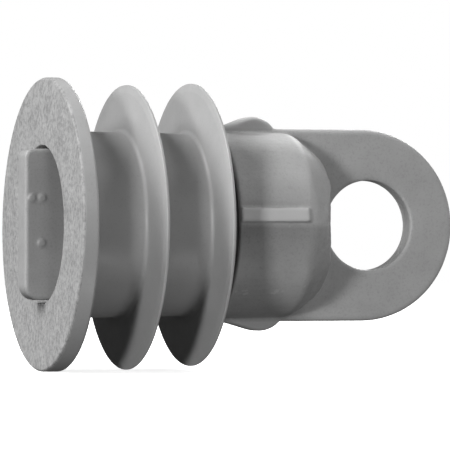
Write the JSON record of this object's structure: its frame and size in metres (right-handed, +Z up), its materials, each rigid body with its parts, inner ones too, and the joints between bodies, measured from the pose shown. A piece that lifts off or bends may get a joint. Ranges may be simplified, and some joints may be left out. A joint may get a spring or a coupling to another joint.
{
  "type": "cap-and-tang strain insulator",
  "caption": "Short strain insulator: ceramic shell with an end flange and thin sheds, metal cap with a flat eye at one end, flat tang in an open bore at the other.",
  "frame": {"origin": "centre of the eye's hole, in the middle of the plate's thickness", "axes": "+X along the insulator's axis from the open flanged end towards the eye; +Y along the eye's hole, square to the eye plate and the tang; +Z up, across the width of both plates"},
  "size_m": [0.1188, 0.0762, 0.0762],
  "materials": {
    "porcelain": "satin mid-grey glaze, unglazed and slightly grainy on the flange's end face",
    "cap_metal": "fine-grained casting with a matte mid-grey coating",
    "tang_metal": "flat forged steel with a matte mid-grey coating, corners slightly worn",
    "cement": "neat Portland cement, matte and slightly porous",
    "sand": "crushed porcelain grit fused in glaze",
    "bitumen": "thin bituminous paint",
    "cork": "pressed cork",
    "seal": "matte sealing compound"
  },
  "bodies": {
    "root": {"insulator_shell": "porcelain", "eye_cap": "cap_metal", "tang": "tang_metal", "cap_cement": "cement", "tang_cement": "cement", "head_sand_band": "sand", "socket_sand_band": "sand", "cap_coat": "bitumen", "tang_coat": "bitumen", "cap_cushion": "cork", "tang_cushion": "cork", "cap_seal": "seal"}
  },
  "joints": []
}
